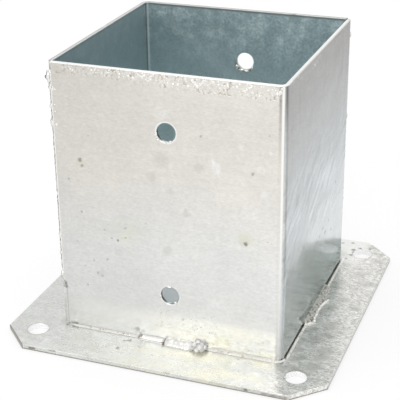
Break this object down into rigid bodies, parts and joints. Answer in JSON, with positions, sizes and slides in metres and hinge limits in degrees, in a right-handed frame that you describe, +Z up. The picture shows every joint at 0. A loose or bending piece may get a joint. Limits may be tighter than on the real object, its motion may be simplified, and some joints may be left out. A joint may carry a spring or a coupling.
{
  "type": "timber post base",
  "caption": "Bolt-down steel base for a square timber post: an open square socket welded to a flat anchor plate, hot-dip galvanised all over.",
  "frame": {"origin": "middle of the plate's underside, where the base stands on the ground", "axes": "+Z up along the post, +X to the right of the face with the bolt holes, -Y out of that front face"},
  "size_m": [0.18, 0.18, 0.153],
  "materials": {
    "galvanised_plate": "hot-dip galvanised, satin, faint mottling",
    "galvanised_sheet": "hot-dip galvanised, satin, faint mottling",
    "galvanised_weld": "hot-dip galvanised, satin, faint mottling"
  },
  "bodies": {
    "root": {"base_plate": "galvanised_plate", "socket_angle_front_right": "galvanised_sheet", "socket_angle_back_left": "galvanised_sheet", "corner_weld_front_left": "galvanised_weld", "corner_weld_back_right": "galvanised_weld", "base_weld_front": "galvanised_weld", "base_weld_right": "galvanised_weld", "base_weld_back": "galvanised_weld", "base_weld_left": "galvanised_weld"}
  },
  "joints": []
}
